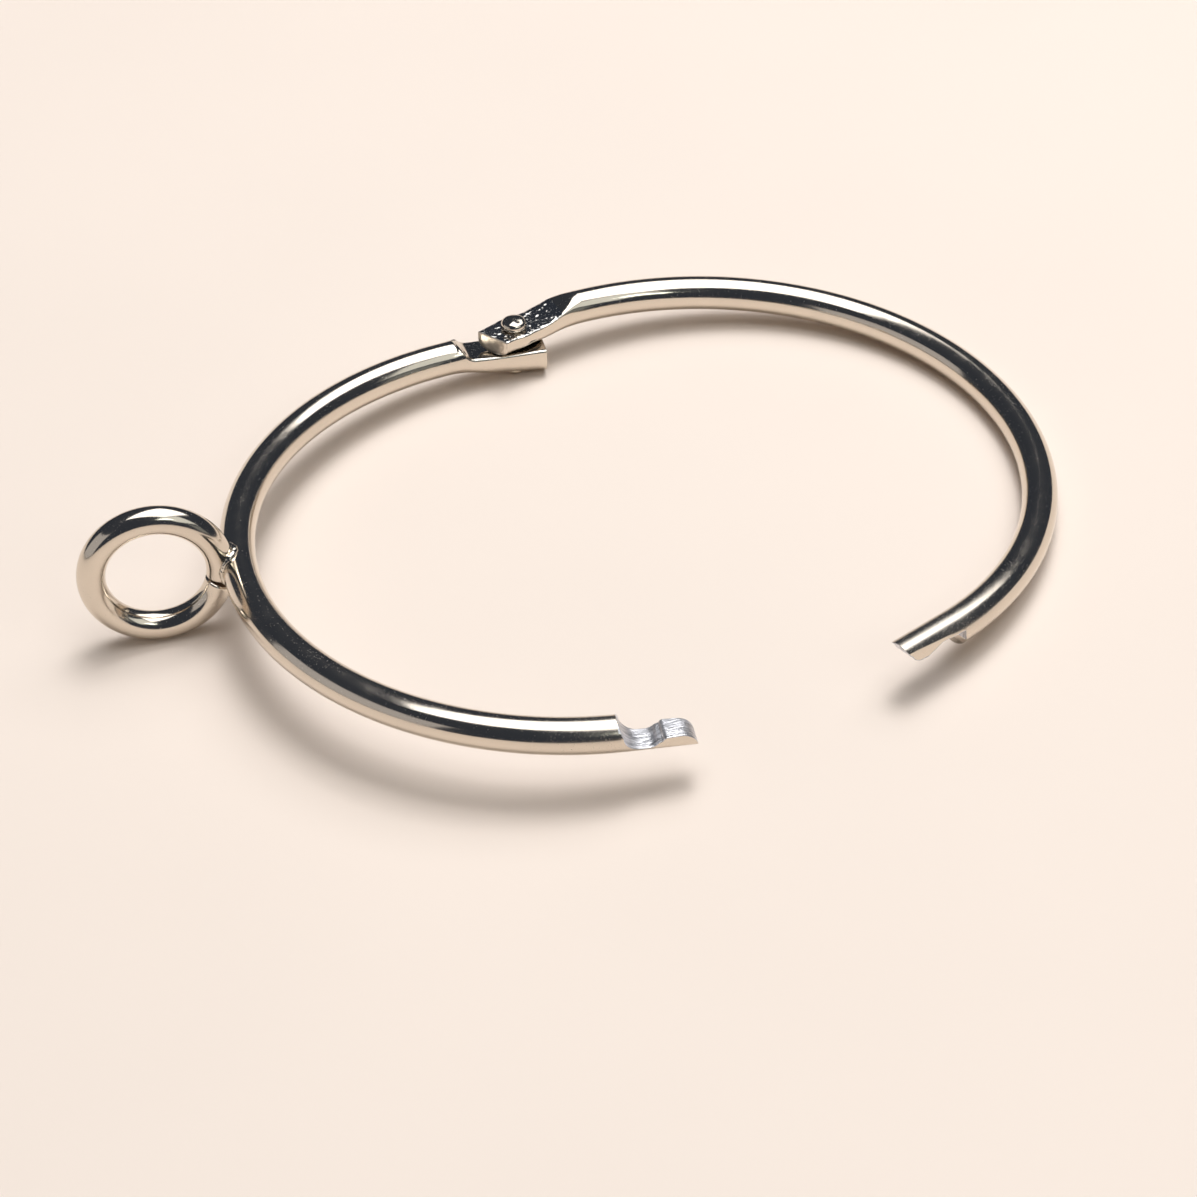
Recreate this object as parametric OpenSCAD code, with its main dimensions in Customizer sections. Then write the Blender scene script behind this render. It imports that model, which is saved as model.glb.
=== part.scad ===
// Hinged curtain ring of plated round wire, lying open on a table.
// Two half rings turn on a rivet at one end and catch each other with a
// notch and hump at the other. A closed eyelet of thinner wire is brazed
// to the middle of one half.
//
// Ring frame: centre of the eyelet half at the origin, its wire in the XY
// plane, the rivet at [0, ring_r]. Angles along a half are counted in
// degrees from the rivet.

/* [Ring] */
// Clear diameter inside the closed ring
ring_inner_d = 50; // [44:0.5:60]
// Diameter of the ring wire
wire_d = 2.88; // [2.7:0.02:3.1]
// Angle by which the ring stands open
open_angle = 27.9; // [0:0.1:90]
// Height of the plain half's wire over the eyelet half's at the rivet
rise_hinge = 1.95; // [1.8:0.05:2.1]
// Height of the plain half's wire over the eyelet half's at the catch
rise_catch = 0.4; // [0.35:0.05:0.6]

/* [Hinge] */
// Width of the pressed tabs
tab_w = 3.1; // [2.8:0.05:3.4]
// Distance from the rivet's axis to the end of each tab
tab_end = 2.5; // [2.2:0.1:3]
// Distance from the rivet's axis to the foot of the lower tab's shoulder
lower_shoulder = 3.6; // [3.4:0.1:4]
// Radius of that shoulder
shoulder_r = 1.3; // [1:0.1:1.4]
// Distance from the rivet's axis to the foot of the upper tab's ramp
upper_flat = 1.3; // [1.2:0.1:1.6]
// Radius of the upper tab's ramp
ramp_r = 7.5; // [6:0.1:8]
// Height of the face between the tabs over the eyelet half's wire centre
lap_z = 0.35; // [0.2:0.05:0.5]
// Gap between the two tabs
lap_gap = 0.05; // [0.02:0.01:0.08]
// Radius of the lower tab's round underside at its end
stub_r = 1.65; // [1.5:0.05:1.7]
// Depth of that radius's centre under the wire's centre
stub_drop = 0.6; // [0.5:0.05:0.7]
// Thickness of the upper tab
upper_t = 1.67; // [1.5:0.01:1.8]

/* [Rivet] */
// Diameter of the rivet's shank
rivet_d = 1.4; // [1.2:0.05:1.6]
// Radial clearance of the upper tab on the shank
rivet_play = 0.05; // [0.02:0.01:0.08]
// Diameter of the domed head
head_d = 2.2; // [2:0.05:2.6]
// Height of the domed head
head_h = 0.8; // [0.6:0.05:1]
// Diameter of the closed end under the lower tab
tail_d = 1.9; // [1.7:0.05:2]
// Height of the closed end under the lower tab
tail_h = 0.6; // [0.5:0.05:0.7]

/* [Catch] */
// Angle from the rivet to where the eyelet half's wire is cut back
eyelet_half_arc = 177.6; // [176:0.1:179]
// Angle from the rivet to where the plain half's wire is cut back
plain_half_arc = 175.3; // [174:0.1:177]
// Length of the lap between the two full sections
lap_len = 6.1; // [5.8:0.1:6.3]
// Turn by which each end is bent in from a straight tangent
end_bend = 1.5; // [0:0.1:3]
// Gap left along the wire at each end of the lap
lap_play = 0.08; // [0.05:0.01:0.15]
// Depth of the notch floor under the wire's centre
notch_floor = 0.75; // [0.6:0.05:0.8]
// Height of the hump over the notch floor
hump_h = 0.75; // [0.6:0.05:0.8]
// Depth of the tooth under the plain half's wire centre
tooth_drop = 0.2; // [0:0.05:0.25]
// Height of the hollow behind the tooth over the wire's centre
hollow_top = 0.5; // [0.4:0.05:0.6]
// Half width of each tongue near its tip
tip_w = 1; // [0.9:0.05:1.1]

/* [Eyelet] */
// Clear diameter inside the eyelet
eye_inner_d = 7.9; // [7:0.1:9]
// Diameter of the eyelet wire
eye_wire_d = 2.3; // [2:0.05:2.6]
// Angle from the rivet to the eyelet
eye_arc = 90; // [80:1:100]
// Depth by which the eyelet is seated into the ring wire
eye_seat = 1.15; // [0.8:0.05:1.3]
// Width of the slit where the eyelet's ends meet
eye_slit = 0.35; // [0.2:0.05:0.6]
// Radius of the brazing round the seat
braze_r = 1.4; // [1.2:0.05:1.6]

/* [Lying] */
// Direction of the rivet seen from the ring's centre
hinge_az = 100.5; // [0:0.5:180]
// Lean of the ring about X as it lies
lean_x = -3.69; // [-10:0.01:10]
// Lean of the ring about Y as it lies
lean_y = 3.67; // [-10:0.01:10]
// Sideways place of the ring's centre, with the origin under the whole part's middle
centre_x = -0.46; // [-5:0.01:5]
// Place of the ring's centre along Y
centre_y = -2.69; // [-5:0.01:5]
// Height of the ring's centre over the table
centre_z = 3.782; // [0:0.001:10]

/* [Hidden] */
$fn = 96;
wire_r = wire_d / 2;
ring_r = ring_inner_d / 2 + wire_r;
mm_deg = ring_r * PI / 180;            // length of one degree of arc
lower_top = lap_z - lap_gap / 2;
upper_bottom = lap_z + lap_gap / 2;
upper_top = upper_bottom + upper_t;
stub_z = -stub_drop;
upper_start = 4.6;                     // where the plain half's round wire begins
stub_rise = 3.2;                       // slope of the stub's axis in degrees
tail_z = stub_z - stub_r + 0.5;        // seat of the rivet's tail
half_lap = lap_len / 2;
hump_top = hump_h - notch_floor;
catch_arc = eyelet_half_arc + half_lap / mm_deg;
// angle between the halves when the catch is home
closed_angle = (eyelet_half_arc + plain_half_arc + lap_len / mm_deg - 360) / 2;
plain_slope = asin((rise_hinge - rise_catch) / (2 * ring_r));
eye_wire_r = eye_wire_d / 2;
eye_r = eye_inner_d / 2 + eye_wire_r;
eye_x = ring_r + wire_r - eye_seat + eye_wire_r + eye_r;

// Points of an arc of radius r round [x, y] from angle a to angle b
function arc(x, y, r, a, b, n = 12) =
    [for (i = [0:n]) [x + r * cos(a + (b - a) * i / n), y + r * sin(a + (b - a) * i / n)]];

// Ring wire from angle a to angle b, counterclockwise from the +Y axis
module wire_arc(a, b, r = wire_r)
    rotate([0, 0, 90 + a]) rotate_extrude(angle = b - a) translate([ring_r, 0]) circle(r);

// Cross-section between x0 and x1 and between z0 and z1, with corners of
// radius rb below and rt above
module rounded_bar(x0, x1, z0, z1, rb, rt)
    polygon(concat(
        arc(x0 + rb, z0 + rb, rb, 180, 270, 6), arc(x1 - rb, z0 + rb, rb, 270, 360, 6),
        arc(x1 - rt, z1 - rt, rt, 0, 90, 4), arc(x0 + rt, z1 - rt, rt, 90, 180, 4)));

// Straight tongue that leaves the ring wire at angle a, pressed narrower to
// its tip; side is 1 for the eyelet half and -1 for the plain half
module tongue(a, side)
    rotate([0, 0, side * a]) translate([0, ring_r, 0]) rotate([0, 0, side * end_bend]) difference() {
        translate([side * 0.3, 0, 0]) rotate([0, -side * 90, 0])
            cylinder(h = lap_len + 0.8, r = wire_r - 0.02);
        for (m = [0, 1]) mirror([0, m, 0]) linear_extrude(4 * wire_r, center = true)
            polygon([[-side * 0.2, wire_r], [-side * 1.8, 1.22], [-side * 8, 1.22 - 6.2 * (1.22 - tip_w) / 4],
                [-side * 8, 4], [-side * 0.2, 4]]);
    }

// Frame of the closed catch: X along the wire towards the eyelet half's
// tip, Y up, extruded across the wire
module at_catch()
    rotate([0, 0, catch_arc]) translate([0, ring_r, 0]) rotate([0, 0, -closed_angle / 2])
        rotate([90, 0, 0]) mirror([1, 0, 0]) linear_extrude(4 * wire_r, center = true) children();

// Metal cut away over the eyelet half's notch and hump
module eyelet_half_cut()
    polygon(concat(
        [[8, 3], [-half_lap, 3], [-half_lap, wire_r]],
        arc(-1.6, 1.15 - notch_floor, 1.15, 180, 270),
        arc(-0.2, 0.25 - notch_floor, 0.25, 270, 345, 6),
        arc(0.62, hump_top - 0.42, 0.42, 172, 90, 8),
        arc(1.5, hump_top - 1.3, 1.3, 90, 15),
        [[half_lap - lap_play, -1.15], [half_lap - lap_play, -3], [8, -3]]));

// Metal cut away under the plain half's tooth and hollow
module plain_half_cut()
    polygon(concat(
        [[-8, 3], [-half_lap + lap_play, 3], [-half_lap + lap_play, 1.2]],
        arc(-1.35, 1.05 - tooth_drop, 1.05, 200, 270),
        arc(-0.75, 0.35 - tooth_drop, 0.35, 270, 315, 6),
        arc(0.75, hollow_top - 0.5, 0.5, 130, 90, 6),
        [[half_lap, hollow_top], [half_lap, -3], [-8, -3]]));

module eyelet_half_body()
    difference() {
        union() {
            wire_arc(lower_shoulder / mm_deg, eyelet_half_arc);
            tongue(eyelet_half_arc, 1);
            lower_tab();
        }
        // flat and shoulder of the lower tab
        translate([0, ring_r, 0]) rotate([90, 0, 0]) linear_extrude(8, center = true)
            polygon(concat([[5, 4], [5, lower_top]],
                arc(-lower_shoulder, lower_top + shoulder_r, shoulder_r, 270, 205, 8), [[-5.3, 1.7], [-5.3, 4]]));
        at_catch() eyelet_half_cut();
    }

// Lower tab: a stub that leaves the round wire and swells down to the
// rivet, with square shoulders above and a seat for the rivet's tail below
module lower_tab()
    difference() {
        translate([0, ring_r - 0.15, 0]) rotate([0, 0, 3]) {
            translate([tab_end, 0, stub_z]) rotate([0, stub_rise - 90, 0])
                cylinder(h = tab_end + 5.8, r1 = stub_r, r2 = 1.3);
            translate([tab_end, 0, 0]) rotate([90, 0, -90]) linear_extrude(tab_end + lower_shoulder)
                rounded_bar(-tab_w / 2, tab_w / 2, stub_z + 0.05, lower_top, 0.02, 0.2);
        }
        translate([0, ring_r, tail_z - 2]) cylinder(h = 2, d = tail_d + 0.3);
    }

module eyelet_half()
    color("silver") lie() difference() {
        eyelet_half_body();
        translate([0, ring_r, 0]) cylinder(h = 3 * wire_d, d = rivet_d, center = true);
    }

module plain_half()
    color("silver") lie() about_rivet(open_angle) difference() {
        union() {
            // the wire, sloping down from the rivet to the catch
            translate([0, ring_r, rise_hinge]) rotate([plain_slope, 0, 0]) translate([0, -ring_r, 0])
                difference() {
                    union() {
                        wire_arc(-plain_half_arc, -upper_start / mm_deg);
                        tongue(plain_half_arc, -1);
                    }
                    about_rivet(-closed_angle) at_catch() plain_half_cut();
                }
            // upper tab, and the stub by which it leaves the wire
            translate([0, ring_r, 0]) rotate([0, 0, -3]) {
                translate([-tab_end, 0, 0]) rotate([90, 0, 90]) linear_extrude(tab_end + 3.6)
                    rounded_bar(-tab_w / 2, tab_w / 2, upper_bottom, upper_top + 0.15, 0.75, 0.2);
                translate([0.1, 0.2, upper_bottom + 0.3]) cylinder(h = upper_t, r = tab_w / 2 + 0.2);
            }
            translate([0.8, ring_r - 0.05, upper_bottom + 1.48]) rotate([0, 90 - 0.8, -7.6])
                cylinder(h = 5.9, r1 = 1.47, r2 = 1.36);
        }
        // pressed flat and the ramp up to the round wire
        translate([0, ring_r, 0]) rotate([90, 0, 0]) linear_extrude(8, center = true)
            polygon(concat([[-8, upper_top]],
                arc(upper_flat, upper_top + ramp_r, ramp_r, 270, 310), [[6, 6], [-8, 6]]));
        translate([0, ring_r, 0]) cylinder(h = 4 * wire_d, r = rivet_d / 2 + rivet_play, center = true);
    }

module hinge_rivet()
    color("gainsboro") lie() translate([0, ring_r, 0]) {
        translate([0, 0, tail_z - 0.01]) cylinder(h = upper_top + 0.1 - tail_z, d = rivet_d);
        translate([0, 0, upper_top + 0.04]) dome(head_d, head_h);
        translate([0, 0, tail_z]) mirror([0, 0, 1]) dome(tail_d, tail_h);
    }

// Button of diameter d and height h with a domed top
module dome(d, h) {
    cap_h = h * 0.6;
    cap_r = (d * d / 4 + cap_h * cap_h) / (2 * cap_h);
    cylinder(h = h - cap_h, d = d);
    intersection() {
        translate([0, 0, h - cap_r]) sphere(cap_r);
        translate([0, 0, h - cap_h - 0.01]) cylinder(h = cap_h + 0.1, d = d);
    }
}

// The eyelet stands square to the ring, with its slit just under the seat
module eyelet_loop(slit)
    rotate([0, 0, eye_arc + 90]) translate([eye_x, 0, 0]) rotate([90, 0, 0])
        rotate([0, 0, 180 + 13 + slit]) rotate_extrude(angle = 360 - 2 * slit)
            translate([eye_r, 0]) circle(eye_wire_r);

module eyelet()
    color("silver") lie() difference() {
        union() {
            eyelet_loop(eye_slit / 2 / eye_r * 180 / PI);
            // brazing round the seat
            rotate([0, 0, eye_arc + 90]) translate([ring_r + wire_r - eye_seat, 0, 0]) rotate([0, 90, 0])
                cylinder(h = eye_seat + 0.25, r1 = braze_r, r2 = eye_wire_r - 0.1);
        }
        wire_arc(eye_arc - 10, eye_arc + 10);
    }

// Turns things about the rivet by angle a
module about_rivet(a)
    translate([0, ring_r, 0]) rotate([0, 0, a]) translate([0, -ring_r, 0]) children();

// Sets the whole ring down as it lies on the table
module lie()
    translate([centre_x, centre_y, centre_z]) rotate([lean_x, lean_y, 0]) rotate([0, 0, hinge_az - 90]) children();

eyelet_half();
plain_half();
hinge_rivet();
eyelet();
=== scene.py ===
"""Hinged curtain ring of nickel plated round wire, lying open on a pale table.

Two half rings turn on a rivet. A closed eyelet stands on one half, and the
two free ends are pressed into a notch with a hump and a tooth with a hollow.
The ring's lengths are millimetres and its angles degrees, until MM turns its
points into metres. The table and the lamps are in metres.
"""
from math import asin, cos, degrees, exp, pi, radians, sin, sqrt

import bpy
from mathutils import Matrix, Vector, noise


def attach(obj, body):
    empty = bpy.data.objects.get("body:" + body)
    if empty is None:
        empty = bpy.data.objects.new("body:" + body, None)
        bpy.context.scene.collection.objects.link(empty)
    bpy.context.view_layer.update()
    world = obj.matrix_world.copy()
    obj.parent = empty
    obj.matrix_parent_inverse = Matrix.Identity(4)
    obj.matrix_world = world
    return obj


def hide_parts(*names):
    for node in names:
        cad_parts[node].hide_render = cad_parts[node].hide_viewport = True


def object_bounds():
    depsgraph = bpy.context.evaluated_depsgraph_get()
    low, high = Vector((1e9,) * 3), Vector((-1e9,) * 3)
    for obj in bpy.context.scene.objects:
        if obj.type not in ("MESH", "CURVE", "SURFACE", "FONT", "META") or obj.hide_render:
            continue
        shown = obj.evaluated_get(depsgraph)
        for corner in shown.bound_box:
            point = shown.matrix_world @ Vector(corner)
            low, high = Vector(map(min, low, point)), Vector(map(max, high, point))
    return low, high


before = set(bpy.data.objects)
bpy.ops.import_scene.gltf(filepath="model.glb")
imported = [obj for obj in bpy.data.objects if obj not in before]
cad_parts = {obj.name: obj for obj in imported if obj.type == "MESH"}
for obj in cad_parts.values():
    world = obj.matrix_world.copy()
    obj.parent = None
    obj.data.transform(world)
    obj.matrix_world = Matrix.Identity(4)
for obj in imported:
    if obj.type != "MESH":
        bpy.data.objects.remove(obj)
CAD_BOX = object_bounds()

MM = 0.001

# ---------------------------------------------------------------- the ring
WIRE_R = 1.44
RING_R = 26.44
MM_DEG = RING_R * pi / 180          # length of one degree of arc
OPEN_ANGLE = 27.9
RISE_HINGE = 1.95                   # plain half's wire over the eyelet half's, at the rivet
RISE_CATCH = 0.4                    # and at the catch
PLAIN_SLOPE = asin((RISE_HINGE - RISE_CATCH) / (2 * RING_R))

# how the ring lies on the table, resting on its eyelet
RING_AT = (-0.46, -2.69, 3.782)
TILT_Y = 3.67
TILT_X = -3.69
LAY_TURN = 10.5

# the hinge: distances along a half are counted from the rivet's axis
TAB_END = 2.5
TAB_W = 3.1
BAR_TILT = 3                        # turn of the straight tabs against the circle's tangent
BAR_BLEND = (1.5, 6)                # stretch in which a straight tab bends into the circle

ROUND = 2.0                         # squareness of a plain circle; higher is squarer

LOWER_TOP = 0.325
LOWER_SHIFT = -0.15                 # how far out of the circle the lower tab lies; below 0 it is inside
LOWER_MID = -0.6                    # height of the lower tab's wire centre at its end
LOWER_CLIMB = 0.056                 # rise of that centre per millimetre
LOWER_R = 1.65                      # radius of its round underside at its end
LOWER_R_FAR = 1.3                   # and where the round wire begins
LOWER_WIRE = 5.8                    # where that is
LOWER_HALF_W = 1.6
LOWER_GROW = (2.6, 6.2)             # stretch in which the lower tab grows into round wire
LOWER_SIDES = 0.03                  # how far its sides stand out past the tab's width
LOWER_EDGES = (0.22, 0.42)          # roundness of its top edges, at its end and past the rivet
LOWER_SQUARE = 2.9                  # squareness of its top
LOWER_FLATNESS = 0.2                # how much squarer than round its underside is
LOWER_FREE = 1.55                   # half width at which its flat sides leave the wire round
LOWER_FLAT_END = 3.9                # where the pressed flat of its top ends

UPPER_BOTTOM = 0.375
UPPER_TOP = 2.045
UPPER_MID = 1.3                     # height of the middle of the upper tab's section
UPPER_HALF_H = 1.0                  # and how far its rounding reaches above that, before the cut
UPPER_GROW = (1.8, 6.4)             # stretch in which the upper tab grows into round wire
UPPER_SQUARE_TOP = 6
UPPER_SQUARE_BOTTOM = 2.3
UPPER_EDGE = 0.2
UPPER_MARKS_END = 4.3               # where the jaw marks on its top end
BULGE = 0.18                        # how far the rivet's stroke spreads the upper tab
BULGE_LEN = 1.1
TAB_BEND = 0.018                    # sideways bend of the upper tab towards its end
TAB_BEND_FROM = 0.9
TAB_SKEW = 0.2                      # slant of the cut across its end
TAB_SKEW_FROM = 1.0
TAB_SHORT = 0.2                     # how much shorter it is than the lower tab
TAB_SHORT_FROM = 1.5

# the catch
EYELET_HALF_ARC = 177.6
PLAIN_HALF_ARC = 175.3
LAP_LEN = 6.1
END_BEND = 1.5
HALF_LAP = LAP_LEN / 2
TIP_GAP = 0.08                      # between a tip and the other half's step, when closed
TIP_X = HALF_LAP - TIP_GAP
CLOSED_ANGLE = (EYELET_HALF_ARC + PLAIN_HALF_ARC + LAP_LEN / MM_DEG - 360) / 2
CATCH_ARC = EYELET_HALF_ARC + HALF_LAP / MM_DEG
NOTCH_FLOOR = 0.75                  # depth below the eyelet half's wire centre
HUMP_TOP = 0.0                      # height over it
TOOTH_DROP = 0.2                    # depth below the plain half's wire centre
HOLLOW_TOP = 0.5                    # height over it
STRUCK_EDGE = 0.06                  # roundness of the edges that the stroke leaves
STEP_W = 0.02                       # run of the steep step where a struck face begins
CATCH_LEAD = 2                      # a half can be struck from this far before its arc's end
BARE_LEAD = 0.02                    # and its bare finish begins this far before it
TIP_BETWEEN = (80.0, 90.0)          # distances along a half between which its tip ends
HALVINGS = 40                       # steps in which the tip is found between them
TIP_RUB = 0.1                       # roughness that handling adds at the tips
RUB_LEN = 9                         # and over how long a stretch it grows

# the eyelet
EYE_WIRE_R = 1.15
EYE_R = 5.1
EYE_ARC = 90
EYE_SEAT = 1.15                     # depth to which its wire is set into the half's wire
EYE_SLIT = 0.35
EYE_X = RING_R + WIRE_R - EYE_SEAT + EYE_WIRE_R + EYE_R
SLIT_FACES = 193                    # direction of the slit round the eyelet
SLIT_LEAN = 2.2                     # slant of the first cut end
SLIT_LEAN_LEN = 6                   # how far along the wire the slant fades, in degrees
SLIT_LEAN_BACK = -0.4               # share of the slant on the second cut end
CUT_SHRINK = 0.14                   # how much the wire narrows at its cut ends
CUT_SHRINK_LEN = 1.1                # and over how many degrees

# the bead of brazing metal
BEAD_R = 0.27
BEAD_LUMP = 0.12                    # change of its thickness along its length
BEAD_LUMP_SCALE = 1.7
BEAD_SKIN = 0.2                     # fine unevenness of its skin, as a share of its thickness
BEAD_SKIN_SCALE = 4.5
BEAD_CORE_X = -0.9                  # place in the wire that the bead's outside faces away from

# points of the meshes
SIDE_N, TOP_N = 14, 34              # up each side of a half, and across its top and its bottom
LOOP_N = 2 * (SIDE_N + TOP_N)
RIVET_N = 64
EYE_N = 64
BEAD_N = 24
BEAD_RINGS = 150
BEAD_FINE = 720                     # steps in which the bead's path is measured
END_CAPS = (0.3, 0.65, 0.92)        # rings on a half's cut end, as shares of the way to its middle
EYE_CAPS = (0.35, 0.75)             # and on the eyelet's
# steps between loops along a half, and the stretches that they hold in
EDGE_LEN = 0.1                      # at both cut ends
TAB_EDGE_STEP = 0.05
TIP_EDGE_STEP = 0.02
TAB_REACH = 6.5                     # up to here in the tab
TAB_STEP = 0.09
ARC_STEP = 0.36                     # round the arc
LEAD_LEN = 1                        # this far before the catch
LEAD_STEP = 0.1
NEAR_LEN = 0.15                     # and from here on in the catch
CATCH_STEP = 0.035
# and round the eyelet, in degrees
EYE_END_LEN = 2                     # at both cut ends
EYE_END_STEP = 0.4
EYE_STEP = 1.5


def turn(angle, axis):
    return Matrix.Rotation(radians(angle), 4, axis)


LIE = Matrix.Translation(RING_AT) @ turn(TILT_Y, "Y") @ turn(TILT_X, "X") @ turn(LAY_TURN, "Z")
TO_RIVET = Matrix.Translation((0, RING_R, 0))
FROM_RIVET = Matrix.Translation((0, -RING_R, 0))
OPENED = LIE @ TO_RIVET @ turn(OPEN_ANGLE, "Z") @ FROM_RIVET


# ------------------------------------------------------------- shader nodes
def socket(tree, name, kind, into, value=None):
    s = tree.interface.new_socket(name=name, in_out="INPUT" if into else "OUTPUT",
                                  socket_type="NodeSocket" + kind)
    if value is not None:
        s.default_value = value


def add(tree, kind, **settings):
    node = tree.nodes.new(kind)
    for key, value in settings.items():
        setattr(node, key, value)
    return node


def feed(tree, source, target):
    """Set a plain value on a socket, or link another node's output to it."""
    if isinstance(source, (int, float, tuple)):
        target.default_value = source
    else:
        tree.links.new(source, target)


def noise_node(tree, where, scale, detail=2.0, rough=0.5):
    """Noise with a scale in waves per metre."""
    node = add(tree, "ShaderNodeTexNoise")
    tree.links.new(where, node.inputs["Vector"])
    feed(tree, scale, node.inputs["Scale"])
    node.inputs["Detail"].default_value = detail
    node.inputs["Roughness"].default_value = rough
    return node.outputs["Fac"]


def remap(tree, value, lo, hi, to_lo=0.0, to_hi=1.0):
    node = add(tree, "ShaderNodeMapRange", clamp=True, interpolation_type="SMOOTHSTEP")
    tree.links.new(value, node.inputs["Value"])
    for key, v in (("From Min", lo), ("From Max", hi), ("To Min", to_lo), ("To Max", to_hi)):
        feed(tree, v, node.inputs[key])
    return node.outputs["Result"]


def calc(tree, op, *values):
    node = add(tree, "ShaderNodeMath", operation=op)
    for i, v in enumerate(values):
        feed(tree, v, node.inputs[i])
    return node.outputs[0]


def mix_colour(tree, fac, a, b):
    node = add(tree, "ShaderNodeMix", data_type="RGBA")
    for key, v in ((0, fac), (6, a), (7, b)):       # its factor and its two colour sockets
        feed(tree, v, node.inputs[key])
    return node.outputs[2]                          # its colour output


def turned_object_space(tree, angle):
    """Coordinates of the object, turned about Z."""
    turned = add(tree, "ShaderNodeMapping")
    turned.inputs["Rotation"].default_value = (0, 0, radians(angle))
    tree.links.new(add(tree, "ShaderNodeTexCoord").outputs["Object"], turned.inputs["Vector"])
    return turned.outputs["Vector"]


# ---------------------------------------------------------------- finishes
PIT_SCALE = 8500
PIT_EDGE = 0.8                      # noise level over which the plating is pitted; Pit Share lowers it
PIT_SOFT = 0.12
PIT_DEPTH = 0.06
HAZE_SCALE = 160
HAZE_RANGE = (0.35, 0.75)           # noise levels between which a mask rises, here and below
HAZE_MOST = 0.25
SCUFF_SCALE = 420
SCUFF_RANGE = (0.45, 0.7)
SCORE_SCALE = (900, 5200, 700)      # of the sheared steel: along the stroke, across it, and down
SCORE_RANGE = (0.35, 0.65)
TORN_SCALE = 2300
TORN_SHARE = 0.7
SHEAR_PATCH_SCALE = 650
SHEAR_PATCH_RANGE = (0.3, 0.7)
SHEAR_ROUGH = (0.38, 0.55)
SHEAR_DARK = (0.5, 0.5, 0.52, 1)
SHEAR_LIGHT = (0.88, 0.87, 0.9, 1)
SHEAR_RELIEF = 0.07                 # depth of its bump, in millimetres
PLATE_RELIEF = 0.02                 # and of the plating's


def plating_group():
    """Electroplate over drawn wire: pits, a faint haze, scuffs and slow
    swells, with more roughness where the mesh's rub value says so."""
    tree = bpy.data.node_groups.new("plating", "ShaderNodeTree")
    socket(tree, "Bright", "Color", True, (0.71, 0.635, 0.54, 1))
    socket(tree, "Dull", "Color", True, (0.56, 0.51, 0.45, 1))
    socket(tree, "Gloss", "Float", True, 0.05)
    socket(tree, "Pit Share", "Float", True, 0.3)
    socket(tree, "Pit Gloss", "Float", True, 0.4)
    socket(tree, "Swell", "Float", True, 1.0)
    socket(tree, "Grain", "Float", True, 700.0)
    socket(tree, "Scuff", "Float", True, 0.0)
    socket(tree, "Color", "Color", False)
    socket(tree, "Roughness", "Float", False)
    socket(tree, "Height", "Float", False)
    gin, gout = add(tree, "NodeGroupInput"), add(tree, "NodeGroupOutput")
    where = add(tree, "ShaderNodeTexCoord").outputs["Object"]
    fine = noise_node(tree, where, PIT_SCALE, detail=1.0)
    patch = noise_node(tree, where, HAZE_SCALE, detail=3.0, rough=0.6)
    swell = noise_node(tree, where, gin.outputs["Grain"], detail=1.0)
    scuff = noise_node(tree, where, SCUFF_SCALE, rough=0.6)
    edge = calc(tree, "SUBTRACT", PIT_EDGE, calc(tree, "MULTIPLY", gin.outputs["Pit Share"], patch))
    pits = remap(tree, fine, edge, calc(tree, "ADD", edge, PIT_SOFT))
    haze = remap(tree, patch, *HAZE_RANGE, to_hi=HAZE_MOST)
    tint = mix_colour(tree, haze, gin.outputs["Bright"], gin.outputs["Dull"])
    tree.links.new(tint, gout.inputs["Color"])
    scuffed = calc(tree, "MULTIPLY", remap(tree, scuff, *SCUFF_RANGE), gin.outputs["Scuff"])
    pitted = calc(tree, "MULTIPLY", pits, gin.outputs["Pit Gloss"])
    rough = calc(tree, "ADD", gin.outputs["Gloss"], calc(tree, "ADD", scuffed, pitted))
    rub = add(tree, "ShaderNodeAttribute", attribute_name="rub").outputs["Fac"]
    tree.links.new(calc(tree, "ADD", rough, rub), gout.inputs["Roughness"])
    waves = calc(tree, "MULTIPLY", swell, gin.outputs["Swell"])
    height = calc(tree, "SUBTRACT", waves, calc(tree, "MULTIPLY", pits, PIT_DEPTH))
    tree.links.new(height, gout.inputs["Height"])
    return tree


def metal_finish(name):
    """A new material, its node tree and its Principled shader, set to metal."""
    mat = bpy.data.materials.new(name)
    mat.use_nodes = True
    bsdf = mat.node_tree.nodes["Principled BSDF"]
    bsdf.inputs["Metallic"].default_value = 1.0
    return mat, mat.node_tree, bsdf


def bump_from(tree, height, depth, bsdf):
    """Bump of the given depth in millimetres."""
    relief = add(tree, "ShaderNodeBump")
    relief.inputs["Strength"].default_value = 1.0
    relief.inputs["Distance"].default_value = depth * MM
    tree.links.new(height, relief.inputs["Height"])
    tree.links.new(relief.outputs["Normal"], bsdf.inputs["Normal"])


PLATING = plating_group()


def plated(name, values):
    """A metal whose colour, gloss and relief come from the plating group."""
    mat, tree, bsdf = metal_finish(name)
    group = add(tree, "ShaderNodeGroup", node_tree=PLATING)
    for key, v in values.items():
        group.inputs[key].default_value = v
    tree.links.new(group.outputs["Color"], bsdf.inputs["Base Color"])
    tree.links.new(group.outputs["Roughness"], bsdf.inputs["Roughness"])
    bump_from(tree, group.outputs["Height"], PLATE_RELIEF, bsdf)
    return mat


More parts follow.
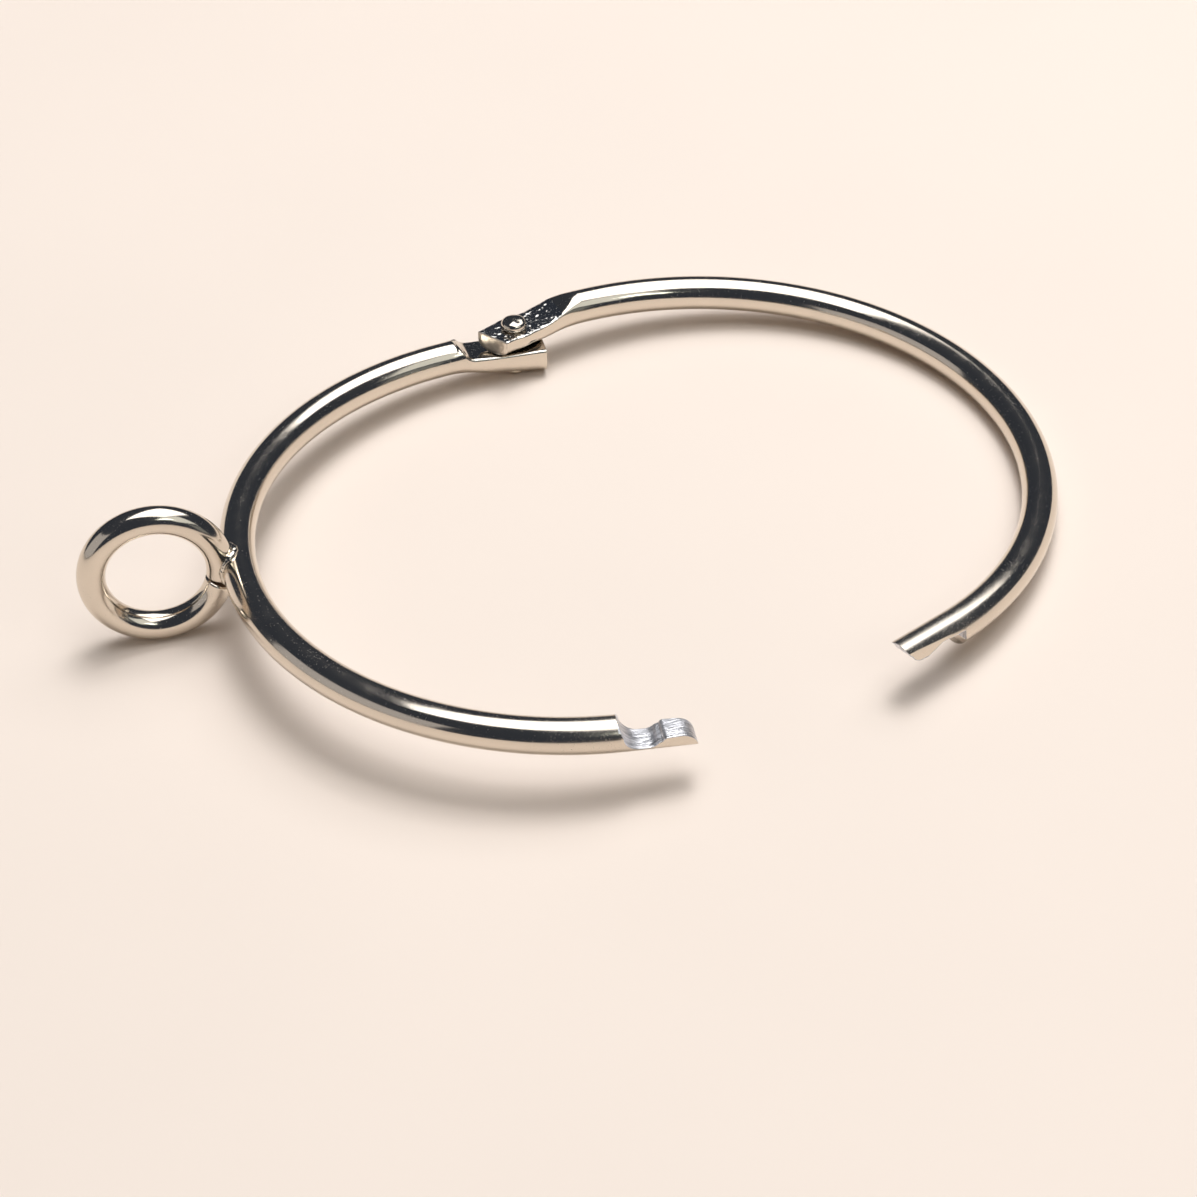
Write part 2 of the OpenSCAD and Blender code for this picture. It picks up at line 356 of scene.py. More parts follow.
def sheared_steel():
    """Bare steel where the notch was struck out, scored along the stroke."""
    mat, tree, bsdf = metal_finish("steel_sheared")
    turned = turned_object_space(tree, -(CATCH_ARC + LAY_TURN - 180))
    drawn = add(tree, "ShaderNodeMapping")
    drawn.inputs["Scale"].default_value = SCORE_SCALE
    tree.links.new(turned, drawn.inputs["Vector"])
    score = noise_node(tree, drawn.outputs["Vector"], 1.0, detail=3.0, rough=0.6)
    torn = noise_node(tree, turned, TORN_SCALE, rough=0.6)
    patch = noise_node(tree, turned, SHEAR_PATCH_SCALE, detail=1.0)
    tint = mix_colour(tree, remap(tree, score, *SCORE_RANGE), SHEAR_DARK, SHEAR_LIGHT)
    tree.links.new(tint, bsdf.inputs["Base Color"])
    tree.links.new(remap(tree, patch, *SHEAR_PATCH_RANGE, *SHEAR_ROUGH), bsdf.inputs["Roughness"])
    height = calc(tree, "ADD", score, calc(tree, "MULTIPLY", torn, TORN_SHARE))
    bump_from(tree, height, SHEAR_RELIEF, bsdf)
    return mat


WIRE_PLATE = plated("nickel_wire", {"Gloss": 0.12, "Swell": 0.25, "Scuff": 0.04, "Pit Share": 0.3,
                                    "Pit Gloss": 0.16})
END_PLATE = plated("nickel_cut_end", {"Gloss": 0.3, "Swell": 1.0, "Grain": 1800, "Scuff": 0.1})
JAW_PLATE = plated("nickel_jaw_marks", {"Gloss": 0.11, "Swell": 8.0, "Grain": 1700, "Scuff": 0.06,
                                        "Pit Share": 0.3, "Bright": (0.62, 0.6, 0.57, 1)})
FLAT_PLATE = plated("nickel_pressed_flat", {"Gloss": 0.09, "Swell": 0.5, "Grain": 1300, "Scuff": 0.05,
                                            "Pit Share": 0.3, "Bright": (0.5, 0.47, 0.43, 1)})
BRAZE = plated("brazing", {"Gloss": 0.13, "Swell": 1.2, "Grain": 1500, "Scuff": 0.15,
                           "Bright": (0.72, 0.66, 0.57, 1), "Dull": (0.4, 0.33, 0.25, 1)})
# the eyelet's cut ends at its slit get a near black brown: painted shade, for the shade deep in the
# narrow slit
SLIT_SHADED_END = plated("slit_ends_painted_shade", {"Gloss": 0.45, "Swell": 1.5, "Grain": 1800,
                                "Bright": (0.3, 0.22, 0.16, 1), "Dull": (0.12, 0.09, 0.07, 1)})
BARE_CUT = sheared_steel()

# places of the finishes in a half's list of materials
ON_WIRE, ON_PRESSED, ON_STRUCK, ON_TAB_END = range(4)
# and in the eyelet's
ON_EYE_WIRE, ON_BRAZE, ON_SLIT_SHADE = range(3)


# ------------------------------------------------------------------ meshes
def mesh_piece(name, points, faces, body, node, mats=(WIRE_PLATE,), face_mats=None, rub=None):
    """A smooth shaded mesh from points in millimetres. It rides on a body and
    stands for a CAD node. rub holds the extra roughness at each point."""
    mesh = bpy.data.meshes.new(name)
    mesh.from_pydata([p * MM for p in points], [], faces)
    if rub:
        mesh.attributes.new("rub", "FLOAT", "POINT").data.foreach_set("value", rub)
    for m in mats:
        mesh.materials.append(m)
    if face_mats:
        mesh.polygons.foreach_set("material_index", face_mats)
    mesh.shade_smooth()
    mesh.update()
    obj = bpy.data.objects.new(name, mesh)
    bpy.context.scene.collection.objects.link(obj)
    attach(obj, body)
    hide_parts(node)


def tube(loops, closed=False):
    """Points and faces of a tube through equal loops. Its ends stay open, or
    its last loop joins its first."""
    n = len(loops[0])
    points = [p for loop in loops for p in loop]
    faces = []
    rows = len(loops)
    for i in range(rows if closed else rows - 1):
        a, b = i * n, ((i + 1) % rows) * n
        faces += [(a + k, a + (k + 1) % n, b + (k + 1) % n, b + k) for k in range(n)]
    return points, faces


def end_faces(count, n):
    """The two flat faces that close a tube of count points, n in each loop."""
    return [tuple(range(n - 1, -1, -1)), tuple(range(count - n, count))]


def cap_rings(row, shares):
    """Copies of a loop, drawn in towards its middle by each share."""
    mid = sum(row, Vector()) / len(row)
    return [[mix(p, mid, t) for p in row] for t in shares]


def soft_min(a, b, k):
    return 0.5 * (a + b - sqrt((a - b) ** 2 + k * k))


def smooth_step(lo, hi, x):
    t = min(1.0, max(0.0, (x - lo) / (hi - lo)))
    return t * t * (3 - 2 * t)


def mix(a, b, t):
    return a + (b - a) * t


def on_line(line, x):
    """Height at x of a line of points with rising x."""
    if x <= line[0][0]:
        return line[0][1]
    for (xa, ya), (xb, yb) in zip(line, line[1:]):
        if x <= xb:
            return mix(ya, yb, (x - xa) / (xb - xa))
    return line[-1][1]


def arc(x, y, r, a, b, n=12):
    """Points on the circle of radius r round (x, y), from angle a to b."""
    return [(x + r * cos(radians(mix(a, b, i / n))), y + r * sin(radians(mix(a, b, i / n))))
            for i in range(n + 1)]


def spaced(parts):
    """Stations from (start, end, step) stretches that follow one another."""
    out = []
    for a, b, step in parts:
        n = max(1, round((b - a) / step))
        out += [a + (b - a) * i / n for i in range(n)]
    return out + [parts[-1][1]]


# --- the section of a half
FAR = 9.0                           # a cut or a limit at this distance leaves the wire whole
CUT_REACH = 8.0                     # a cut beyond this height is left out
LIMIT_REACH = 5.0                   # and so is a limit beyond this half width
LIMIT_EDGE = 0.08                   # roundness of the edges along flat sides
SIDE_SHARE = 0.72                   # share of the height that the points of a side cover
SIDE_LEAST = 0.05                   # least height of a side


class Section:
    """Cross-section of a half: two super-ellipses on one width, one above the
    centre and one below it, with flat sides and a cut above or below."""

    def __init__(self, centre=0.0, width=WIRE_R, up=WIRE_R, down=WIRE_R, p_up=ROUND, p_down=ROUND,
                 limit=FAR, cut_top=FAR, cut_bottom=-FAR, edge=0.1):
        self.centre = centre
        self.width = width
        self.up, self.down = up, down
        self.p_up, self.p_down = p_up, p_down
        self.limit = limit
        self.cut_top, self.cut_bottom = cut_top, cut_bottom
        self.edge = edge

    def half_width(self, z):
        dz = z - self.centre
        h, p = (self.up, self.p_up) if dz > 0 else (self.down, self.p_down)
        w = self.width * max(0.0, 1 - min(1.0, abs(dz) / h) ** p) ** (1 / p)
        return soft_min(w, self.limit, LIMIT_EDGE) if self.limit < LIMIT_REACH else w

    def height(self, u, sign):
        h, p = (self.up, self.p_up) if sign > 0 else (self.down, self.p_down)
        z = self.centre + sign * h * max(0.0, 1 - min(1.0, abs(u) / self.width) ** p) ** (1 / p)
        if sign > 0 and self.cut_top < CUT_REACH:
            return soft_min(z, self.cut_top, self.edge)
        if sign < 0 and self.cut_bottom > -CUT_REACH:
            return -soft_min(-z, -self.cut_bottom, self.edge)
        return z

    def loop(self):
        """Points (across, up): right side upwards, top leftwards, left side
        downwards, bottom rightwards."""
        hi = min(self.cut_top - self.edge / 2, self.centre + SIDE_SHARE * self.up)
        lo = max(self.cut_bottom + self.edge / 2, self.centre - SIDE_SHARE * self.down)
        if hi < lo + SIDE_LEAST and self.cut_top < CUT_REACH:
            lo = hi - SIDE_LEAST
        elif hi < lo + SIDE_LEAST:
            hi = lo + SIDE_LEAST
        rising = [lo + (hi - lo) * i / SIDE_N for i in range(SIDE_N)]
        right = [(self.half_width(z), z) for z in rising]
        w = self.half_width(hi)
        top = [(w, hi)]
        for i in range(1, TOP_N):
            u = w * (1 - 2 * i / TOP_N)
            top.append((u, self.height(u, 1)))
        falling = [hi - (hi - lo) * i / SIDE_N for i in range(SIDE_N)]
        left = [(-self.half_width(z), z) for z in falling]
        w = self.half_width(lo)
        bottom = [(-w, lo)]
        for i in range(1, TOP_N):
            u = w * (1 - 2 * i / TOP_N)
            bottom.append((-u, self.height(u, -1)))
        return right + top + left + bottom


def group_of(k):
    """Part of the section that point k starts (right, top, left or bottom),
    and how many points it is from the part's two ends."""
    for name, n in (("right", SIDE_N), ("top", TOP_N), ("left", SIDE_N), ("bottom", TOP_N)):
        if k < n:
            return name, (k, n - 1 - k)
        k -= n


def swept_half(place, path, section, stations, zone):
    """Points, faces and finishes of a half ring. Both ends are closed flat, by
    rings drawn in towards the middle; zone gives each other face's finish."""
    loops = []
    for s in stations:
        here, across, up = path(s)
        loops.append([place @ (here + across * u + up * z) for u, z in section(s).loop()])
    caps = len(END_CAPS)
    first, last = cap_rings(loops[0], END_CAPS), cap_rings(loops[-1], END_CAPS)
    points, faces = tube(first[::-1] + loops + last)
    mats = [ON_TAB_END] * (caps * LOOP_N)
    for s in stations[:-1]:
        mats += [zone(s, *group_of(k)) for k in range(LOOP_N)]
    mats += [ON_STRUCK] * (caps * LOOP_N) + [ON_TAB_END, ON_STRUCK]
    return points, faces + end_faces(len(points), LOOP_N), mats


# --- the two halves
TANGENT_STEP = 0.02                 # how far to each side a half's direction is measured
Z_UP = Vector((0, 0, 1))
RIVET_AT = Vector((0, RING_R, 0))


def bar_and_circle(s, side, shift):
    """Middle of a half's wire at distance s from the rivet, in its own plane:
    straight through the tab, then round, then straight in the tongue."""
    arc_deg = EYELET_HALF_ARC if side > 0 else PLAIN_HALF_ARC
    a = min(s / MM_DEG, arc_deg)
    ar = radians(a)
    p = Vector((-side * RING_R * sin(ar), RING_R * cos(ar), 0))
    if a < s / MM_DEG:
        b = ar + radians(END_BEND)
        p += Vector((-side * cos(b), -sin(b), 0)) * (s - a * MM_DEG)
    if s < BAR_BLEND[1]:
        tilt = radians(BAR_TILT)
        bar = Vector((-side * s * cos(tilt), RING_R + shift - s * sin(tilt), 0))
        p = bar.lerp(p, smooth_step(*BAR_BLEND, s))
    return p


def heading(s, side, shift):
    ahead = bar_and_circle(s + TANGENT_STEP, side, shift)
    behind = bar_and_circle(s - TANGENT_STEP, side, shift)
    return (ahead - behind).normalized()


def eyelet_half_path(s):
    """Wire centre, direction across and direction up."""
    h = heading(s, 1, LOWER_SHIFT)
    return bar_and_circle(s, 1, LOWER_SHIFT), Vector((h.y, -h.x, 0)), Z_UP


def plain_half_path(s):
    """Wire centre, direction across and direction up, with heights counted
    from the eyelet half's wire centre."""
    slope = turn(degrees(PLAIN_SLOPE) * smooth_step(*BAR_BLEND, s), "X").to_3x3()
    p = bar_and_circle(s, -1, 0)
    h = heading(s, -1, 0)
    back = max(0.0, TAB_BEND_FROM - s)
    p += Vector((h.y, -h.x, 0)) * TAB_BEND * back ** 2
    h = (h + Vector((-h.y, h.x, 0)) * 2 * TAB_BEND * back).normalized()
    p += h * TAB_SHORT * smooth_step(TAB_SHORT_FROM, -TAB_END, s)
    up = slope @ Z_UP
    skew = TAB_SKEW * smooth_step(TAB_SKEW_FROM, -TAB_END, s)
    across = slope @ (Vector((-h.y, h.x, 0)) - h * skew)
    p = RIVET_AT + slope @ (p - RIVET_AT)
    return p + Vector((0, 0, RISE_HINGE)) - up * RISE_HINGE, across, up


def catch_x(s, side):
    """Place along the closed catch, towards the eyelet half's tip."""
    a = radians(CATCH_ARC)
    mid = Vector((-RING_R * sin(a), RING_R * cos(a), 0))
    b = a - radians(CLOSED_ANGLE / 2)
    along = Vector((-cos(b), -sin(b), 0))
    p = bar_and_circle(s, side, 0)
    if side < 0:
        p = TO_RIVET @ turn(CLOSED_ANGLE, "Z") @ FROM_RIVET @ p
    return (p - mid).dot(along)


# the outlines of the struck faces, seen from the side with the catch closed
NOTCH = ([(-HALF_LAP - STEP_W, 2.2), (-HALF_LAP, WIRE_R)]
         + arc(-1.25, 1.5 - NOTCH_FLOOR, 1.5, 187, 270)
         + arc(-0.75, 0.9 - NOTCH_FLOOR, 0.9, 272, 322, n=6)
         + arc(0.68, HUMP_TOP - 0.42, 0.42, 160, 90, n=8)
         + arc(1.65, HUMP_TOP - 1.35, 1.35, 90, 15) + [(TIP_X, -1.15)])
TOOTH = ([(-TIP_X, 1.2)] + arc(-1.35, 1.05 - TOOTH_DROP, 1.05, 200, 270)
         + arc(-0.75, 0.35 - TOOTH_DROP, 0.35, 272, 315, n=6)
         + arc(0.75, HOLLOW_TOP - 0.5, 0.5, 130, 90, n=6)
         + [(HALF_LAP, HOLLOW_TOP), (HALF_LAP + STEP_W, -2.2)])
# how the flats of the tabs' tops run out into the round wire
SHOULDER = [(3.6, LOWER_TOP)] + arc(3.6, LOWER_TOP + 1.3, 1.3, 272, 335, n=8) + [(5.3, 1.7), (5.4, FAR)]
RAMP = [(1.3, UPPER_TOP)] + arc(1.3, UPPER_TOP + 7.5, 7.5, 271, 310) + [(6.3, FAR)]
# half width of the struck tongues, from the end of the arc on
TONGUE = [(0, FAR), (0.19, 1.46), (0.2, 1.44), (1.8, 1.22), (8, 0.879)]


def eyelet_half_section(s):
    start = EYELET_HALF_ARC * MM_DEG
    if s > start - CATCH_LEAD:
        x = catch_x(s, 1)
        cut = on_line(NOTCH, x) if x > -HALF_LAP - STEP_W else FAR
        return Section(limit=on_line(TONGUE, s - start), cut_top=cut, edge=STRUCK_EDGE)
    t = smooth_step(*LOWER_GROW, s)
    if t >= 1:
        return Section()
    radius = mix(LOWER_R, LOWER_R_FAR, (s + TAB_END) / (TAB_END + LOWER_WIRE))
    centre = mix(LOWER_MID + (s + TAB_END) * LOWER_CLIMB, 0, t)
    half = mix(LOWER_HALF_W, WIRE_R, t)
    return Section(centre=centre, width=half, up=half, down=mix(radius, WIRE_R, t),
                   p_up=mix(LOWER_SQUARE, ROUND, t), p_down=ROUND + LOWER_FLATNESS * (1 - t),
                   limit=mix(TAB_W / 2 + LOWER_SIDES, LOWER_FREE, t), cut_top=on_line(SHOULDER, s),
                   edge=mix(*LOWER_EDGES, smooth_step(-TAB_END, TAB_END, s)))


def plain_half_section(s):
    start = PLAIN_HALF_ARC * MM_DEG
    if s > start - CATCH_LEAD:
        x = catch_x(s, -1)
        cut = RISE_HINGE + on_line(TOOTH, x) if x < HALF_LAP + STEP_W else -FAR
        return Section(centre=RISE_HINGE, limit=on_line(TONGUE, s - start), cut_bottom=cut,
                       edge=STRUCK_EDGE)
    t = smooth_step(*UPPER_GROW, s)
    if t >= 1:
        return Section(centre=RISE_HINGE)
    bulge = BULGE * exp(-(s / BULGE_LEN) ** 2)
    return Section(centre=mix(UPPER_MID, RISE_HINGE, t), width=mix(TAB_W / 2, WIRE_R, t) + bulge,
                   up=mix(UPPER_HALF_H, WIRE_R, t), down=mix(UPPER_MID - UPPER_BOTTOM, WIRE_R, t),
                   p_up=mix(UPPER_SQUARE_TOP, ROUND, t), p_down=mix(UPPER_SQUARE_BOTTOM, ROUND, t),
                   cut_top=on_line(RAMP, s), edge=UPPER_EDGE)


def tip_of(side):
    """Distance along a half at which its tip ends, found by halving."""
    lo, hi = TIP_BETWEEN
    for _ in range(HALVINGS):
        mid = (lo + hi) / 2
        if side * catch_x(mid, side) < TIP_X:
            lo = mid
        else:
            hi = mid
    return lo


def half_ring(name, side, place, path, section, body):
    """One half: side is 1 for the eyelet half and -1 for the plain half."""
    start = (EYELET_HALF_ARC if side > 0 else PLAIN_HALF_ARC) * MM_DEG
    tip = tip_of(side)
    stations = spaced([(-TAB_END, -TAB_END + EDGE_LEN, TAB_EDGE_STEP),
                       (-TAB_END + EDGE_LEN, TAB_REACH, TAB_STEP),
                       (TAB_REACH, start - LEAD_LEN, ARC_STEP),
                       (start - LEAD_LEN, start - NEAR_LEN, LEAD_STEP),
                       (start - NEAR_LEN, tip - EDGE_LEN, CATCH_STEP),
                       (tip - EDGE_LEN, tip, TIP_EDGE_STEP)])
    struck = "top" if side > 0 else "bottom"
    pressed_end = LOWER_FLAT_END if side > 0 else UPPER_MARKS_END

    def zone(s, group, from_ends):
        if s > start - BARE_LEAD:
            rim = from_ends[1 if (group == "right") == (side > 0) else 0]
            bare = group == struck or (group in ("left", "right") and rim < 1)
            return ON_STRUCK if bare else ON_WIRE
        return ON_PRESSED if s < pressed_end and group == "top" else ON_WIRE

    points, faces, mats = swept_half(place, path, section, stations, zone)
    caps = len(END_CAPS)
    rows = [stations[0]] * caps + stations + [stations[-1]] * caps
    rub = [TIP_RUB * smooth_step(start - RUB_LEN, start, s) for s in rows for _ in range(LOOP_N)]
    if side > 0:
        faces = [f[::-1] for f in faces]
    top_finish = FLAT_PLATE if side > 0 else JAW_PLATE
    mesh_piece(name, points, faces, body, name.replace("_plated", ""),
               (WIRE_PLATE, top_finish, BARE_CUT, END_PLATE), mats, rub)


# --- the rivet
# outlines of its two ends: (radius, distance out from the tab)
HEAD = [(0.7, -0.3), (0.7, 0.0), (0.98, 0.02), (1.08, 0.1), (1.1, 0.22), (1.08, 0.38), (1.02, 0.52),
        (0.93, 0.62), (0.82, 0.69), (0.66, 0.735), (0.46, 0.765), (0.24, 0.78)]
TAIL = [(0.7, 0.0), (0.88, 0.02), (0.94, 0.12), (0.93, 0.24), (0.85, 0.38), (0.68, 0.49), (0.46, 0.56),
        (0.22, 0.59)]
HEAD_GAP = 0.04                     # between the upper tab and the head's outline
TAIL_SUNK = 0.5                     # depth at which the closed end's outline begins in the lower tab
TAIL_Z = LOWER_MID - LOWER_R + TAIL_SUNK
DENT = 0.07                         # depth of the unevenness that striking leaves
DENT_SCALE = 1.6
DENT_SEED = Vector((3.1, 0, 0))
DENT_FROM = 1.9                     # it begins this far above and below the wire's centre
DENT_EDGE = 1.15                    # it fades out towards this radius
DENT_FADE = 0.5


def struck_rivet():
    """Shank with a set head above and a closed end below, both struck a
    little uneven."""
    rows = [(r, TAIL_Z - z) for r, z in TAIL[::-1]] + [(r, UPPER_TOP + HEAD_GAP + z) for r, z in HEAD]
    loops = []
    for r, z in rows:
        loop = []
        for k in range(RIVET_N):
            a = 2 * pi * k / RIVET_N
            p = Vector((r * cos(a), r * sin(a), z))
            if abs(z) > DENT_FROM:
                dent = noise.noise(p * DENT_SCALE + DENT_SEED) * DENT
                p.z += dent * (1 if z > 0 else -1) * smooth_step(0.0, DENT_FADE, DENT_EDGE - r)
            loop.append(LIE @ TO_RIVET @ p)
        loops.append(loop)
    points, faces = tube(loops)
    mesh_piece("hinge_rivet_struck", points, faces + end_faces(len(points), RIVET_N), "eyelet_side",
               "hinge_rivet")


# --- the eyelet and its brazing
def eyelet_loop():
    """Round wire bent into a loop, its two ends meeting at a slit."""
    slit = degrees(EYE_SLIT / 2 / EYE_R)
    stations = spaced([(0, EYE_END_LEN, EYE_END_STEP),
                       (EYE_END_LEN, 360 - EYE_END_LEN - 2 * slit, EYE_STEP),
                       (360 - EYE_END_LEN - 2 * slit, 360 - 2 * slit, EYE_END_STEP)])
    stand = LIE @ turn(EYE_ARC + 90, "Z") @ Matrix.Translation((EYE_X, 0, 0)) @ turn(90, "X")
    stand = stand @ turn(SLIT_FACES + slit, "Z")
    total = stations[-1]
    rings = []
    for a in stations:
        ar = radians(a)
        end = min(a, total - a)
        r = EYE_WIRE_R * (1 - CUT_SHRINK * exp(-(end / CUT_SHRINK_LEN) ** 2))
        fade = exp(-(end / SLIT_LEAN_LEN) ** 2)
        share = 1 if a < 180 else SLIT_LEAN_BACK
        ring = []
        for k in range(EYE_N):
            b = 2 * pi * k / EYE_N
            rr = EYE_R + r * cos(b)
            lean = radians(SLIT_LEAN) * cos(b) * fade * share
            ring.append(stand @ Vector((rr * cos(ar + lean), rr * sin(ar + lean), r * sin(b))))
        rings.append(ring)
    first, last = cap_rings(rings[0], EYE_CAPS), cap_rings(rings[-1], EYE_CAPS)
    points, faces = tube(first[::-1] + rings + last)
    return points, faces + end_faces(len(points), EYE_N)


def braze_line():
    """Evenly spaced points on the line where the eyelet's wire enters the
    round wire of its half."""
    path = []
    for i in range(BEAD_FINE):
        t = 2 * pi * (i + 0.5) / BEAD_FINE
        x = -WIRE_R + EYE_WIRE_R * abs(cos(t))
        z = sqrt(max(0.0, WIRE_R ** 2 - x * x)) * (1 if cos(t) > 0 else -1)
        path.append(Vector((x, EYE_WIRE_R * sin(t), z)))
    length = [0.0]
    for a, b in zip(path, path[1:] + path[:1]):
        length.append(length[-1] + (b - a).length)
    even, j = [], 0
    for i in range(BEAD_RINGS):
        goal = length[-1] * i / BEAD_RINGS
        while length[j + 1] < goal:
            j += 1
        t = (goal - length[j]) / (length[j + 1] - length[j])
        even.append(path[j].lerp(path[(j + 1) % len(path)], t))
    return even


def brazing_bead():
    """Lumpy bead of brazing metal in the corner between eyelet and wire."""
    line = braze_line()
    place = LIE @ turn(EYE_ARC - 90, "Z") @ Matrix.Translation((-RING_R, 0, 0))
    rings = []
    for i, p in enumerate(line):
        along = (line[(i + 2) % BEAD_RINGS] - line[i - 2]).normalized()
        out = (p - Vector((BEAD_CORE_X, 0, 0))).normalized()
        out = (out - along * out.dot(along)).normalized()
        side = along.cross(out)
        r = BEAD_R + BEAD_LUMP * noise.noise(p * BEAD_LUMP_SCALE)
        ring = []
        for k in range(BEAD_N):
            b = 2 * pi * k / BEAD_N
            q = p + (out * cos(b) + side * sin(b)) * r
            q += (q - p) * BEAD_SKIN * noise.noise(q * BEAD_SKIN_SCALE)
            ring.append(place @ q)
        rings.append(ring)
    return tube(rings, closed=True)


def brazed_eyelet():
    points, faces = eyelet_loop()
    bead, bead_faces = brazing_bead()
    cut_faces = (len(EYE_CAPS) + 1) * EYE_N         # the caps and the first row of the wire
    wire_faces = len(faces) - 2 - 2 * cut_faces
    # the slit's cut ends and the wire's first row next to them carry the painted shade of the slit
    mats = [ON_SLIT_SHADE] * cut_faces + [ON_EYE_WIRE] * wire_faces + [ON_SLIT_SHADE] * (cut_faces + 2)
    mats += [ON_BRAZE] * len(bead_faces)
    base = len(points)
    faces = [f[::-1] for f in faces] + [tuple(base + i for i in f) for f in bead_faces]
    mesh_piece("eyelet_brazed", points + bead, faces, "eyelet_side", "eyelet",
               (WIRE_PLATE, BRAZE, SLIT_SHADED_END), mats)


half_ring("eyelet_half_plated", 1, LIE, eyelet_half_path, eyelet_half_section, "eyelet_side")
half_ring("plain_half_plated", -1, OPENED, plain_half_path, plain_half_section, "plain_side")
struck_rivet()
brazed_eyelet()

# ------------------------------------------------------------------- table
TABLE_HALF = 2.0
TABLE_GAP = 0.00002                 # between the table and the ring's lowest point
TABLE_COLOUR = (0.93, 0.82, 0.74, 1)
CLOUD_SCALE = 25
CLOUD_RANGE = (0.3, 0.7)
CLOUD_SHADE = 0.985                 # the darkest cloud, as a share of the table's colour


def table_top():
    """A pale matt board with faint clouds in its colour."""
    z = CAD_BOX[0][2] - TABLE_GAP
    corners = [(x * TABLE_HALF, y * TABLE_HALF, z) for x, y in ((-1, -1), (1, -1), (1, 1), (-1, 1))]
    mesh = bpy.data.meshes.new("table")
    mesh.from_pydata(corners, [], [(0, 1, 2, 3)])
    table = bpy.data.objects.new("table", mesh)
    bpy.context.scene.collection.objects.link(table)
    mat = bpy.data.materials.new("pale_table")
    mat.use_nodes = True
    tree = mat.node_tree
    bsdf = tree.nodes["Principled BSDF"]
    bsdf.inputs["Roughness"].default_value = 0.7
    bsdf.inputs["Specular IOR Level"].default_value = 0.1
    where = add(tree, "ShaderNodeTexCoord").outputs["Object"]
    cloud = noise_node(tree, where, CLOUD_SCALE)
    shaded = tuple(c * CLOUD_SHADE for c in TABLE_COLOUR[:3]) + (1,)
    tint = mix_colour(tree, remap(tree, cloud, *CLOUD_RANGE), TABLE_COLOUR, shaded)
    tree.links.new(tint, bsdf.inputs["Base Color"])
    mesh.materials.append(mat)


table_top()

# ------------------------------------------------------------------- lamps
BOX_HEIGHT = 0.9                    # of the big soft box over the table
BOX_TURN = -24
MIDDLE_DROP = 0.01                  # its bright middle hangs this far under it
LAMP_DISTANCE = 1.2                 # of the lamps round the ring
ROOM_COLOUR = (0.62, 0.74, 1.0, 1)
ROOM_LEVEL = 0.06


def area_lamp(name, size, power, matrix, colour=(1, 1, 1), seen=True):
    """A rectangular lamp that faces down its own Z. seen says if metal
    mirrors it."""
    light = bpy.data.lights.new(name, "AREA")
    light.shape = "RECTANGLE"
    light.size, light.size_y = size
    light.energy = power
    light.color = colour
    obj = bpy.data.objects.new(name, light)
    bpy.context.scene.collection.objects.link(obj)
    obj.matrix_world = matrix
    obj.visible_glossy = seen
    obj.visible_camera = False


def overhead_box(name, height, x_sides, y_sides, power):
    """A flat soft box over the table. Its sides are given as shares of the
    big box's height, counted from over the table's middle."""
    x0, x1 = (x * BOX_HEIGHT for x in x_sides)
    y0, y1 = (y * BOX_HEIGHT for y in y_sides)
    matrix = (Matrix.Translation((0, 0, height)) @ turn(BOX_TURN, "Z")
              @ Matrix.Translation(((x0 + x1) / 2, (y0 + y1) / 2, 0)))
    area_lamp(name, (x1 - x0, y1 - y0), power, matrix)


def aimed_lamp(name, where, size, power, colour, seen=True):
    """A soft box that faces the table's middle."""
    aim = (Vector((0, 0, 0)) - Vector(where)).to_track_quat("-Z", "Y").to_matrix().to_4x4()
    area_lamp(name, size, power, Matrix.Translation(where) @ aim, colour, seen)


def lamp_round_ring(name, direction, size, power, colour):
    aimed_lamp(name, tuple(d * LAMP_DISTANCE for d in direction), size, power, colour)


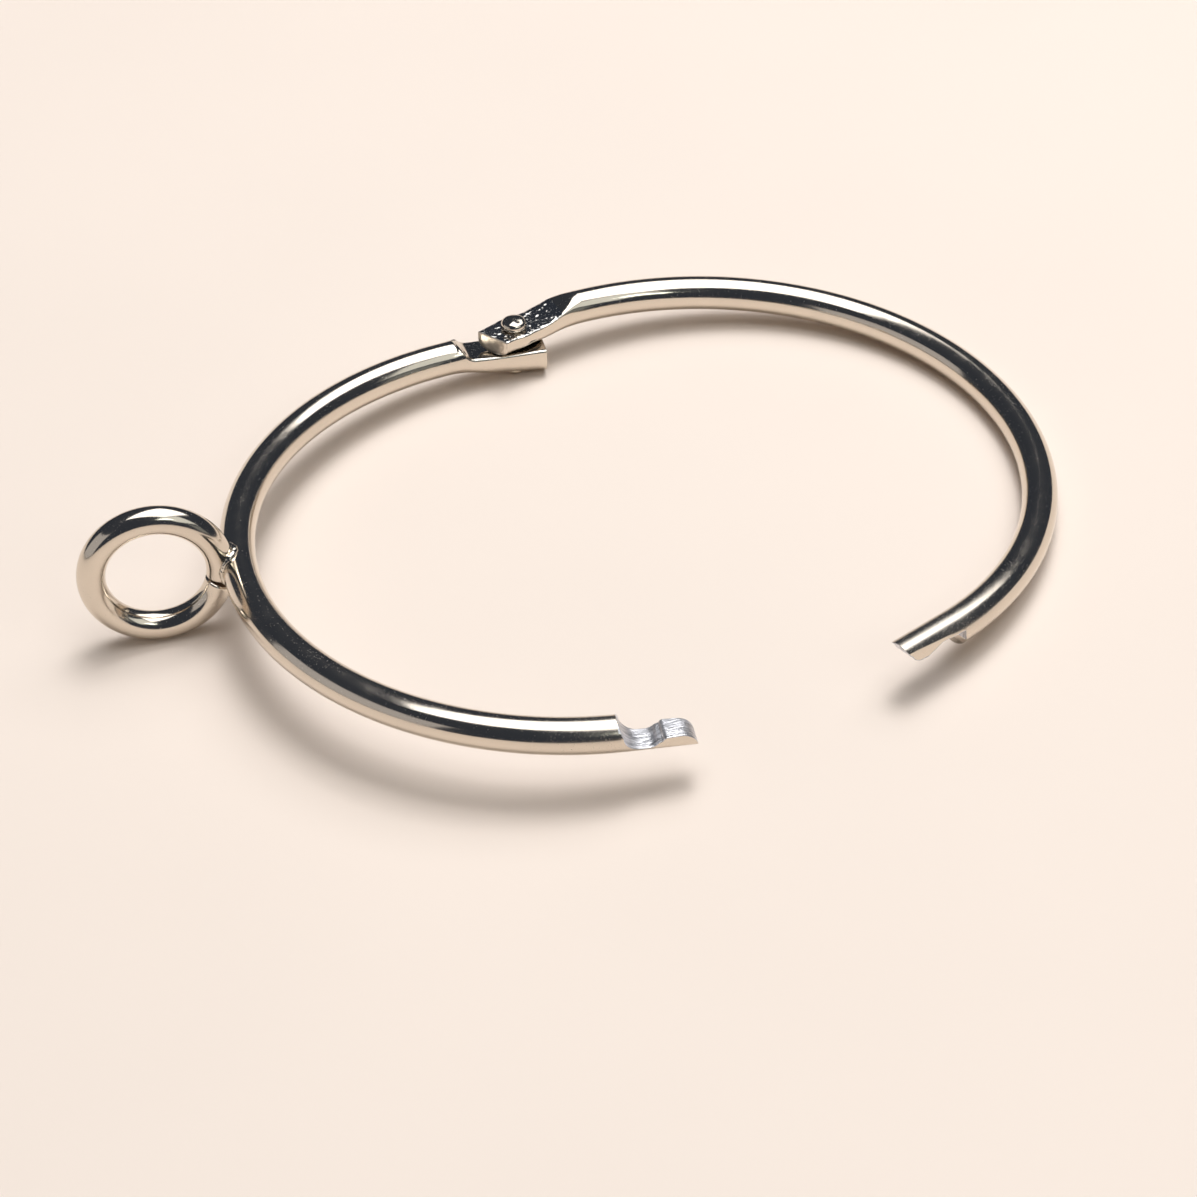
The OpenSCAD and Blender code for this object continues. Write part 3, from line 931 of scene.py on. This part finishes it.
def dim_room():
    """Bluish dark round the lamps. The metal shows it, and it doesn't light
    the table."""
    room = bpy.data.worlds.new("room")
    room.use_nodes = True
    tree = room.node_tree
    background = tree.nodes["Background"]
    background.inputs["Color"].default_value = ROOM_COLOUR
    on_matt = add(tree, "ShaderNodeLightPath").outputs["Is Diffuse Ray"]
    seen = calc(tree, "SUBTRACT", ROOM_LEVEL, calc(tree, "MULTIPLY", on_matt, ROOM_LEVEL))
    tree.links.new(seen, background.inputs["Strength"])
    return room


overhead_box("overhead_box", BOX_HEIGHT, (-0.38, 0.64), (-0.28, 1.1), power=8.3)
overhead_box("box_middle", BOX_HEIGHT - MIDDLE_DROP, (-0.14, 0.2), (0.1, 0.55), power=3.4)
lamp_round_ring("front_window", (0.40, -0.66, 0.64), (0.3, 0.14), power=0.5, colour=(0.93, 1.0, 0.93))
lamp_round_ring("side_window", (0.62, -0.45, 0.64), (0.70, 0.62), power=1.16, colour=(0.97, 1.0, 0.95))
lamp_round_ring("side_wall", (0.82, -0.53, 0.21), (0.45, 0.35), power=0.09, colour=(0.97, 1.0, 0.9))
lamp_round_ring("left_wall", (-0.89, -0.36, 0.30), (1.38, 0.70), power=1.4, colour=(1.0, 0.96, 0.93))
aimed_lamp("room_fill", (0, -0.3, 1.6), (2.4, 2.4), power=1.0, colour=(1, 0.64, 0.3), seen=False)
bpy.context.scene.world = dim_room()

# ------------------------------------------------------------------ camera
SENSOR_MM = 36
FOCAL_PX = 3600
FRAME_PX = 1197
CLIP_START = 0.01
CAMERA_AT = Vector((14.79732, -223.84506, 187.66088))       # in millimetres
CAMERA_RIGHT = Vector((0.9975328, -0.0004001, -0.0702004))
CAMERA_UP = Vector((0.0532457, 0.6560103, 0.7528714))


def ring_camera():
    """A long lens that looks down on the ring from the front."""
    data = bpy.data.cameras.new("camera")
    data.sensor_width = SENSOR_MM
    data.lens = SENSOR_MM * FOCAL_PX / FRAME_PX
    data.clip_start = CLIP_START
    cam = bpy.data.objects.new("camera", data)
    bpy.context.scene.collection.objects.link(cam)
    turned = Matrix((CAMERA_RIGHT, CAMERA_UP, CAMERA_RIGHT.cross(CAMERA_UP))).transposed().to_4x4()
    cam.matrix_world = Matrix.Translation(CAMERA_AT * MM) @ turned
    bpy.context.scene.camera = cam


ring_camera()
bpy.context.scene.view_settings.view_transform = "Standard"
